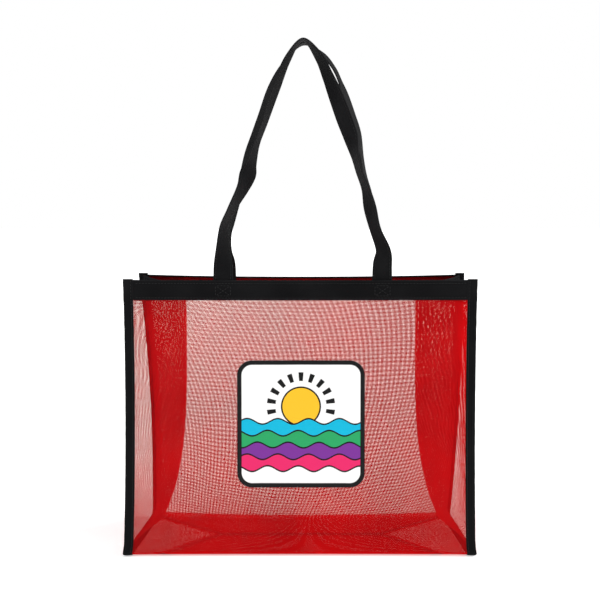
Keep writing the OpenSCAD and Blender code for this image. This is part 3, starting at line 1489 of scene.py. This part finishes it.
# The rim band's outline in millimetres: outward, and up from its foot or from the rim.
BAND_FOOT: tuple[Pair, ...] = (
    (0.55, 0.0), (1.0, 0.0), (1.45, 0.25), (1.55, 0.9), (1.42, 2.6), (1.55, 4.2),
)
BAND_LAP: tuple[Pair, ...] = (
    (1.55, -4.4), (1.42, -3.0), (1.55, -1.8), (1.35, -0.3), (0.85, 0.5), (0.1, 0.75), (-0.5, 0.45),
    (-0.78, -0.2), (-0.8, -0.9), (-0.6, -1.2), (-0.35, -1.0), (-0.35, -0.4), (0.1, -0.1), (0.55, -0.4),
)


def band_outline(height: float) -> list[Pair]:
    """Outline the rim band, which laps over the rim onto the inside.

    Args:
        height: The height of the band's outer face.

    Returns:
        The closed outline, as distances out from the cloth's middle and up.
    """
    low = [(out * MM, up * MM) for out, up in BAND_FOOT]
    return low + [(out * MM, height + up * MM) for out, up in BAND_LAP]


@dataclass(frozen=True)
class RimBand:
    """The web band on a wall's rim, with the handles' sewn boxes."""

    form: BagForm
    face: Face
    web: RibbedWeb
    thread: StitchThread
    feet: tuple[float, ...]
    foot_width: float
    step: float = 3 * MM
    end_gap: float = 5.5 * MM
    seam_lift: float = 1.45 * MM
    box_lift: float = 1.55 * MM
    box_side: float = 2.5 * MM
    box_low: float = 5 * MM
    box_high: float = 5.5 * MM

    def build(self) -> bpy.types.Object:
        """Build the band with its stitching.

        Returns:
            The finished piece.
        """
        form = self.form
        reach, foot = form.width / 2 - self.end_gap, form.height - form.band_height
        count = math.ceil(2 * reach / self.step)
        places = [blend_between(-reach, reach, k / count) for k in range(count + 1)]
        outline = band_outline(form.band_height)
        skin = Skin()
        rings = [[form.wall(self.face, x, foot + up, out) for out, up in outline] for x in places]
        skin.sweep(rings, places, [up - form.band_height / 2 for _, up in outline])
        for up in form.band_seams():
            line = [(x, foot + up) for x in places[2:-2]]
            skin.seam(form.wall_path(self.face, line, self.seam_lift))
        for x in self.feet:
            self.box(skin, x, foot)
        name = f"{self.face.name.lower()}_band"
        piece = skin.build(f"{name}_web", [self.web.material(), self.thread.material()])
        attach(piece, "bag")
        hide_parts(name)
        return piece

    def box(self, skin: Skin, x: float, foot: float) -> None:
        """Sew a crossed box where a handle's end lies behind the band.

        Args:
            skin: The band's mesh.
            x: The middle of the handle's end.
            foot: The height of the band's lower edge.
        """
        half = self.foot_width / 2 - self.box_side
        low = foot + self.box_low
        high = foot + self.form.band_height - self.box_high
        corners = [(x - half, low), (x + half, low), (x + half, high), (x - half, high)]
        edges = [*zip(corners, corners[1:] + corners[:1])]
        crosses = [(corners[0], corners[2]), (corners[1], corners[3])]
        for start, end in edges + crosses:
            path = self.form.wall_path(self.face, line_between(start, end), self.box_lift)
            skin.seam(path)


@dataclass(frozen=True)
class Binding:
    """The tape that is folded over a side seam and sewn through."""

    form: BagForm
    side: Side
    web: RibbedWeb
    thread: StitchThread
    step: float = 0.48 * MM
    tooth: float = 0.22 * MM
    foot: float = 1.35 * MM
    over: float = 1.5 * MM
    seam_in: float = 2.1 * MM
    seam_lift: float = 0.9 * MM
    swell: float = 1.0 * MM
    swell_rise: Pair = (-27 * MM, -21 * MM)
    tooth_rise: Pair = (10 * MM, 11 * MM)
    waver: Pair = (9 * MM, 0.18 * MM)
    waver_seed: float = 4.0
    half_outline: tuple[Pair, ...] = (
        (0.0, 0.15), (0.0, 0.55), (0.35, 0.85), (1.5, 0.98), (2.1, 0.86), (2.8, 1.02), (4.6, 1.22),
        (8.4, 1.25), (9.7, 1.05), (10.6, 0.66), (10.95, 0.22),
    )

    def build(self) -> bpy.types.Object:
        """Build the tape and its two rows of stitches.

        Returns:
            The finished piece.
        """
        form = self.form
        spots = form.section(self.foot, form.skin_depth, self.step, self.over)
        outline = [(a * MM, t * MM) for a, t in self.half_outline]
        outline += [(a, -t) for a, t in reversed(outline)]
        outward = Vector((self.side.value, 0, 0))
        waver_pitch, waver_rise = self.waver
        stations: list[Station] = []
        swells: list[float] = []
        for spot in spots:
            seam = form.seam_x(self.side, spot.depth_share, spot.z)
            shy = waver_rise * wander(spot.distance, 0.0, waver_pitch, self.side.value * self.waver_seed)
            y = spot.y - math.copysign(form.bow(0.0, spot.z) * (1 - spot.base), spot.y)
            origin = Vector((seam - self.side.value * (form.binding_width + shy), y, spot.z))
            stations.append(Station(origin, outward, Vector((0, spot.out_y, spot.out_z)), spot.distance))
            swells.append(self.swell * ease(*self.swell_rise, spot.z - form.height))
        rings: list[list[Vector]] = []
        for i, (station, swell) in enumerate(zip(stations, swells)):
            worn = self.tooth * (i % 2)
            rings.append([
                station.point(a - worn * ease(*self.tooth_rise, a), t + math.copysign(swell, t))
                for a, t in outline
            ])
        skin = Skin()
        skin.sweep(rings, [s.distance for s in stations],
                   [a - form.binding_width / 2 for a, _ in outline])
        for over in (1, -1):
            path = [Station(s.point(self.seam_in, over * (self.seam_lift + w)), s.across, over * s.out,
                            s.distance) for s, w in zip(stations, swells)]
            skin.seam(path)
        name = f"{self.side.name.lower()}_binding"
        piece = skin.build(f"{name}_tape", [self.web.material(), self.thread.material()])
        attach(piece, "bag")
        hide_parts(name)
        return piece


# Each handle's route from its left foot to its right one: the place across in
# millimetres, the height as a share of the rise, and the twist in degrees.
ROUTES: dict[Face, tuple[Stop, ...]] = {
    Face.FRONT: (
        (-88, 0.00, 0), (-88, 0.05, 15), (-88, 0.12, 45), (-87, 0.22, 70), (-79, 0.29, 70),
        (-66, 0.38, 55), (-60, 0.44, 35), (-56, 0.49, 60), (-50, 0.57, 75), (-42, 0.65, 75),
        (-35, 0.73, 70), (-27, 0.81, 70), (-15, 0.92, 75), (2, 1.00, 90), (20, 0.93, 70),
        (30, 0.85, 60), (40, 0.76, 45), (49, 0.67, 40), (56, 0.60, 45), (61, 0.52, 70),
        (66, 0.45, 75), (73, 0.38, 70), (78, 0.30, 55), (84, 0.21, 60), (93, 0.12, 45),
        (92, 0.05, 15), (92, 0.00, 0),
    ),
    Face.REAR: (
        (-90, 0.00, 0), (-90, 0.05, 15), (-90, 0.11, 50), (-87, 0.18, 70), (-82, 0.25, 70),
        (-76, 0.34, 65), (-70, 0.42, 65), (-62, 0.53, 60), (-54, 0.62, 65), (-46, 0.70, 65),
        (-34, 0.82, 65), (-19, 0.92, 75), (2, 1.00, 90), (24, 0.96, 75), (38, 0.90, 75),
        (46, 0.84, 75), (52, 0.78, 65), (60, 0.70, 65), (67, 0.62, 65), (72, 0.52, 75),
        (76, 0.44, 75), (80, 0.36, 60), (85, 0.27, 55), (92, 0.18, 60), (98, 0.11, 45),
        (98, 0.05, 15), (98, 0.00, 0),
    ),
}


@dataclass(frozen=True)
class Handle:
    """A loop of webbing that is sewn inside a wall at both ends and rises over the rim."""

    form: BagForm
    face: Face
    web: RibbedWeb
    thread: StitchThread
    route: tuple[Stop, ...]
    rise: float = 270 * MM
    top_y: float = 12.5 * MM
    width: float = STRAP_WIDTH
    thickness: float = 1.6 * MM
    rim_gap: float = 0.6 * MM
    wall_gap: float = 1.3 * MM
    sewn_height: float = 19 * MM
    sewn_steps: int = 8
    hinge_low: float = -1.5 * MM
    hinge_high: float = 7 * MM
    ring_steps: int = 12
    edge_in: float = 2.6 * MM
    groove: float = 0.7 * MM
    selvage: Pair = (0.25 * MM, 0.9 * MM)
    seam_sunk: float = 0.8

    @property
    def foot_y(self) -> float:
        """Return the distance of a foot from the bag's middle plane."""
        return self.inside_y(self.form.height)

    @property
    def feet(self) -> tuple[float, ...]:
        """Return the places of the two feet across the bag."""
        return self.route[0][0] * MM, self.route[-1][0] * MM

    def stop(self, i: int) -> tuple[Vector, float]:
        """Find one stop of the route, as on the rear of the bag.

        Args:
            i: Its number, which is held to the route's first and last.

        Returns:
            Its point and its twist in radians.
        """
        x, share, twist = self.route[min(len(self.route) - 1, max(0, i))]
        low = self.form.height + self.rim_gap
        point = Vector((
            x * MM,
            blend_between(self.foot_y, self.top_y, share),
            blend_between(low, self.form.height + self.rise, share),
        ))
        return point, math.radians(twist)

    def centreline(self) -> list[tuple[Vector, float]]:
        """Follow the webbing, its sewn ends included.

        Returns:
            The points and twists along it.
        """
        line: list[tuple[Vector, float]] = []
        for i in range(len(self.route) - 1):
            stops = [self.stop(i + k) for k in (-1, 0, 1, 2)]
            for k in range(self.ring_steps):
                t = k / self.ring_steps
                point = through(*(s[0] for s in stops), t)
                line.append((point, through(*(s[1] for s in stops), t)))
        line.append(self.stop(len(self.route) - 1))
        heights = [self.form.height - self.sewn_height * k / self.sewn_steps
                   for k in range(self.sewn_steps, -1, -1)]
        first, last = ([(Vector((x, self.inside_y(z), z)), 0.0) for z in heights] for x in self.feet)
        return first + line + last[::-1]

    def inside_y(self, z: float) -> float:
        """Return the distance of the sewn end from the bag's middle plane at a height."""
        return self.form.half_depth(z) - self.wall_gap - self.thickness / 2

    def stations(self) -> list[Station]:
        """Give the centreline its directions, on this handle's side of the bag.

        Returns:
            The path of the webbing.
        """
        line = self.centreline()
        made: list[Station] = []
        distance = 0.0
        for i, (point, twist) in enumerate(line):
            if i:
                distance += (point - line[i - 1][0]).length
            before, after = line[max(0, i - 1)][0], line[min(len(line) - 1, i + 1)][0]
            along = (after - before).normalized()
            outward = along.cross(Vector((0, 1, 0))).normalized()
            across = outward * math.cos(twist) + outward.cross(along) * math.sin(twist)
            turned = [Vector((v.x, v.y * self.face.value, v.z))
                      for v in (point, across, along.cross(across))]
            made.append(Station(*turned, distance))
        return made

    def outline(self) -> list[Pair]:
        """Outline the webbing: rounded selvages and a shallow groove along each seam.

        Returns:
            The closed outline, as distances across and outward.
        """
        half, thick = self.width / 2, self.thickness / 2
        seam = half - self.edge_in
        edge = [(half, 0.0), (half - self.selvage[0], thick * 0.72), (half - self.selvage[1], thick),
                (seam + self.groove, thick * 0.98), (seam, thick * 0.78),
                (seam - self.groove, thick * 0.96), (half * 0.4, thick)]
        top = edge + [(-a, t) for a, t in reversed(edge)]
        return top + [(a, -t) for a, t in reversed(top)][1:-1]

    def build(self) -> bpy.types.Object:
        """Build the webbing with its edge seams, bent across the rim.

        Returns:
            The finished piece.
        """
        stations, outline = self.stations(), self.outline()
        skin = Skin()
        skin.sweep([[s.point(a, t) for a, t in outline] for s in stations],
                   [s.distance for s in stations], [a for a, _ in outline])
        for over in (1, -1):
            turned = [Station(s.origin, s.across, s.out * over, s.distance) for s in stations]
            for across in (self.width / 2 - self.edge_in, self.edge_in - self.width / 2):
                skin.seam(turned, across, self.thickness / 2 * self.seam_sunk)
        name = f"{self.face.name.lower()}_handle"
        piece = skin.build(f"{name}_web", [self.web.material(), self.thread.material()])
        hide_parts(name, f"{name}_ends")
        y = self.face.value * self.foot_y
        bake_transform(piece)
        return piece


@dataclass(frozen=True)
class FrontPrint:
    """The printed film on the front wall."""

    form: BagForm
    size: float
    middle_z: float
    corner: float = 17 * MM
    lift: float = 0.75 * MM
    film: float = 0.3 * MM
    step: float = 2.4 * MM

    def half_width(self, up: float) -> float:
        """Find half the film's width.

        Args:
            up: The distance up from its middle.

        Returns:
            The distance from its upright middle line to its edge.
        """
        straight = self.size / 2 - self.corner
        over = max(0.0, abs(up) - straight)
        return straight + math.sqrt(max(0.0, self.corner ** 2 - over ** 2))

    def build(self) -> bpy.types.Object:
        """Build the film on the wall, and give it its thickness.

        Returns:
            The finished piece.
        """
        count = math.ceil(self.size / self.step)
        ups = [-math.cos(math.pi * i / count) * self.size / 2 for i in range(count + 1)]
        rows: list[list[Vector]] = []
        cloth: list[list[Pair]] = []
        for up in ups:
            half = self.half_width(up)
            spread = [half * (2 * j / count - 1) for j in range(count + 1)]
            rows.append([self.form.wall(Face.FRONT, x, self.middle_z + up, self.lift) for x in spread])
            cloth.append([(x, up) for x in spread])
        skin = Skin()
        skin.grid(rows, cloth)
        finish = PrintedFilm(self.size, self.corner)
        piece = skin.build("front_print_film", [finish.material(), finish.backing()])
        thick = piece.modifiers.new("thickness", "SOLIDIFY")
        thick.thickness = self.film
        thick.offset = -1.0
        thick.material_offset = 1
        thick.material_offset_rim = 1
        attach(piece, "bag")
        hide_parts("front_print")
        return piece


# ------------------------------------------------------------------ the studio


@dataclass(frozen=True)
class Studio:
    """The floor, lights and camera."""

    camera_place: tuple[float, float, float] = (-1.1 * MM, -1.067, 0.402)
    camera_tilt: float = 83.8
    lens: float = 54.66
    clip_start: float = 20 * MM
    floor_size: float = 24.0
    floor_steps: int = 8
    floor_drop: float = 0.2 * MM
    ambient: float = 0.42
    key_strength: float = 1.45
    key_turn: tuple[float, float, float] = (52.0, 0.0, -58.0)
    key_softness: float = 38.0
    rim_strength: float = 3.6
    rim_turn: tuple[float, float, float] = (64.0, 0.0, 98.0)

    def build(self) -> None:
        """Build everything round the bag."""
        self.build_floor()
        self.build_world()
        self.build_sun("key_light", self.key_strength, self.key_turn)
        self.build_sun("rim_light", self.rim_strength, self.rim_turn)
        self.build_camera()
        bpy.context.scene.view_settings.view_transform = "Standard"

    def build_floor(self) -> None:
        """Lay the floor just under the bag's feet."""
        half = self.floor_size / 2
        spots = [blend_between(-half, half, k / self.floor_steps) for k in range(self.floor_steps + 1)]
        skin = Skin()
        skin.grid([[Vector((x, y, -self.floor_drop)) for x in spots] for y in spots],
                  [[(x, y) for x in spots] for y in spots])
        skin.build("studio_floor", [StudioFloor().material()])

    def build_world(self) -> None:
        """Make a white surround that is softer as a light than it looks."""
        shader = Shader(bpy.data.worlds.new("studio"))
        seen = shader.node("ShaderNodeBackground", {}, {"Color": WHITE})
        light = shader.node("ShaderNodeBackground", {}, {"Color": WHITE, "Strength": self.ambient})
        direct = shader.find(shader.node("ShaderNodeLightPath").outputs, "Is Camera Ray")
        surface = shader.layered(direct, light.outputs[0], seen.outputs[0])
        shader.node("ShaderNodeOutputWorld", {}, {"Surface": surface})
        bpy.context.scene.world = shader.owner

    def build_sun(self, name: str, strength: float, turn: tuple[float, float, float]) -> None:
        """Add one wide, even light.

        Args:
            name: Its name.
            strength: Its strength.
            turn: Its turn about X, Y and Z, in degrees.
        """
        light = bpy.data.lights.new(name, "SUN")
        light.energy = strength
        light.angle = math.radians(self.key_softness)
        lamp = bpy.data.objects.new(name, light)
        lamp.rotation_euler = [math.radians(a) for a in turn]
        bpy.context.collection.objects.link(lamp)

    def build_camera(self) -> None:
        """Place the camera."""
        data = bpy.data.cameras.new("camera")
        data.lens = self.lens
        data.clip_start = self.clip_start
        camera = bpy.data.objects.new("camera", data)
        camera.location = self.camera_place
        camera.rotation_euler = (math.radians(self.camera_tilt), 0.0, 0.0)
        bpy.context.collection.objects.link(camera)
        bpy.context.scene.camera = camera


def main() -> None:
    """Build the bag from its cloth outward, then the studio round it."""
    logging.basicConfig(level=logging.INFO, format="%(name)s: %(message)s")
    left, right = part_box("left_binding")[0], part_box("right_binding")[1]
    form = BagForm(width=right.x - left.x, height=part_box("body_cloth")[1].z)
    print_low, print_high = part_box("front_print")

    mesh, thread = SheerMesh(), StitchThread()
    tape = RibbedWeb("binding_tape", form.binding_width, rib=0.85 * MM, colour=BLACK, worn=WORN_BLACK,
                     roughness=0.75, relief=0.25 * MM, seed=2.0)
    band = RibbedWeb("band_webbing", form.band_height, rib=0.9 * MM, colour=BLACK, worn=WORN_BLACK,
                     roughness=0.7, relief=0.22 * MM, seed=6.0)
    strap = RibbedWeb("handle_webbing", STRAP_WIDTH, rib=1.3 * MM, colour=BLACK, worn=PALER_BLACK,
                      roughness=0.7, relief=0.35 * MM, seed=12.0)

    BodyCloth(form, mesh).build()
    for side in Side:
        gusset = Gusset(form, side, mesh, band, thread, SEAM_WEAVES_AND_GLOW[side])
        gusset.build()
        gusset.build_band()
        Binding(form, side, tape, thread).build()
    for face in Face:
        handle = Handle(form, face, strap, thread, ROUTES[face])
        handle.build()
        RimBand(form, face, band, thread, handle.feet, handle.width).build()
    FrontPrint(form, print_high.x - print_low.x, (print_low.z + print_high.z) / 2).build()
    Studio().build()


if __name__ == "__main__":
    main()
